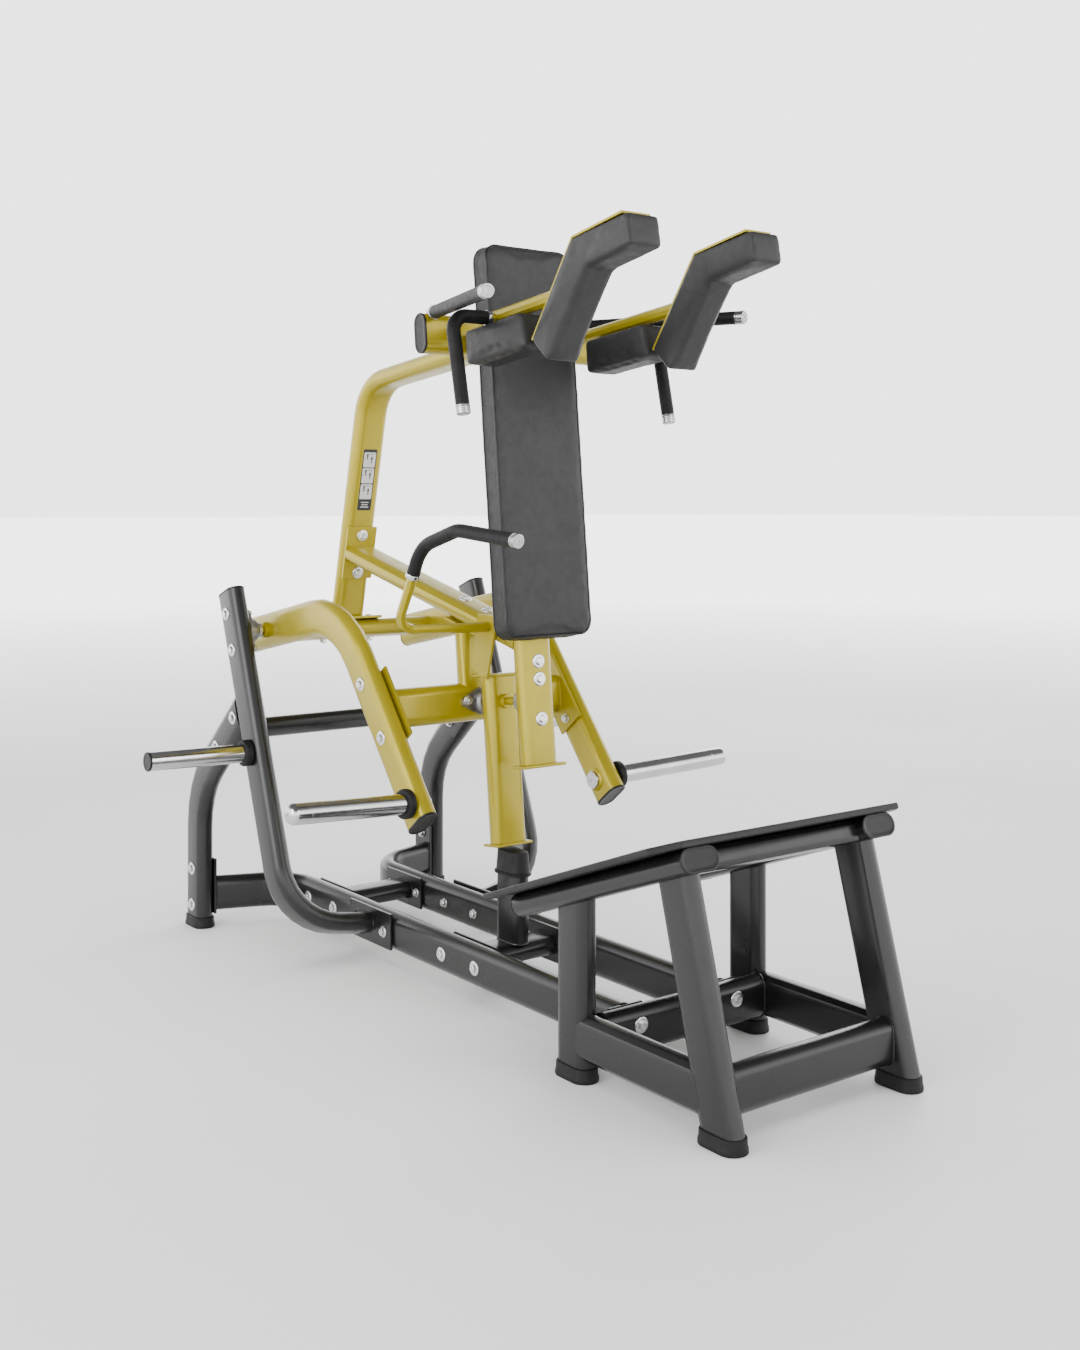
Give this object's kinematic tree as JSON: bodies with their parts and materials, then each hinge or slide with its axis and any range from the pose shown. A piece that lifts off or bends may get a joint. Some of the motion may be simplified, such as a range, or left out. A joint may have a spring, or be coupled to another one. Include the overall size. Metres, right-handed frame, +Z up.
{
  "type": "hack squat machine",
  "caption": "Plate-loaded lever squat machine: bolted floor frame with an inclined foot plate, a hinged lever with back and shoulder pads, and a swing-out stop leg.",
  "frame": {"origin": "on the floor, under the middle of the machine's bounding box", "axes": "+Z up, +X to the user's left as they face -Y away from the back pad, -Y towards the foot plate"},
  "size_m": [1.4412, 2.1425, 1.8673],
  "materials": {
    "black_paint": "gloss black powder coat",
    "yellow_paint": "gloss metallic yellow powder coat",
    "black_rubber": "matt moulded rubber",
    "black_grip": "matt foam rubber grip",
    "chrome": "polished chrome",
    "bearing_steel": "grey zinc-coated casting",
    "upholstery": "charcoal synthetic leather"
  },
  "bodies": {
    "floor_frame": {"cross_member_front": "black_paint", "cross_member_rear": "black_paint", "floor_rail_left": "black_paint", "floor_rail_right": "black_paint", "foot_plate": "black_paint", "foot_rear_left": "black_rubber", "foot_rear_right": "black_rubber", "foot_stand_front_left": "black_rubber", "foot_stand_front_right": "black_rubber", "foot_stand_rear_left": "black_rubber", "foot_stand_rear_right": "black_rubber", "pivot_bearing_left": "bearing_steel", "pivot_bearing_right": "bearing_steel", "rear_crossbar": "black_paint", "rear_leg_left": "black_paint", "rear_leg_right": "black_paint", "stand_beam_left": "black_paint", "stand_beam_right": "black_paint", "stand_cross_beam": "black_paint", "stand_cross_rail_front": "black_paint", "stand_cross_rail_rear": "black_paint", "stand_front_leg_left": "black_paint", "stand_front_leg_right": "black_paint", "stand_rail_left": "black_paint", "stand_rail_right": "black_paint", "stand_rear_leg_left": "black_paint", "stand_rear_leg_right": "black_paint", "stop_bumper": "black_rubber", "stop_post": "black_paint", "storage_horn_left": "chrome", "storage_horn_right": "chrome", "upright_left": "black_paint", "upright_right": "black_paint"},
    "lever": {"back_pad": "upholstery", "down_grip_left": "black_grip", "down_grip_right": "black_grip", "inner_pad_left": "upholstery", "inner_pad_right": "upholstery", "leg_bearing_front": "bearing_steel", "leg_bearing_rear": "bearing_steel", "lever_arm_left": "yellow_paint", "lever_arm_right": "yellow_paint", "lever_brace": "yellow_paint", "lever_cross_tube": "yellow_paint", "lever_crossbar": "yellow_paint", "pad_post": "yellow_paint", "rear_post": "yellow_paint", "shoulder_pad_left": "upholstery", "shoulder_pad_right": "upholstery", "upper_handle_left": "black_grip", "upper_handle_right": "black_grip", "weight_horn_left": "chrome", "weight_horn_right": "chrome", "yoke_crossbar": "yellow_paint", "yoke_tube_left": "yellow_paint", "yoke_tube_right": "yellow_paint"},
    "stop_leg": {"stop_handle_grip": "black_grip", "stop_handle_tube": "yellow_paint", "stop_leg": "yellow_paint"}
  },
  "joints": [
    {"name": "lever_pivot", "type": "hinge", "parent": "floor_frame", "child": "lever", "pos_m": [0, 0.757, 0.871], "axis": [-1, 0, 0], "range_deg": [0, 35]},
    {"name": "stop_leg_swing", "type": "hinge", "parent": "lever", "child": "stop_leg", "pos_m": [0, 0.071, 0.7175], "axis": [0, -0.9952, 0.0975], "range_deg": [0, 25]}
  ]
}
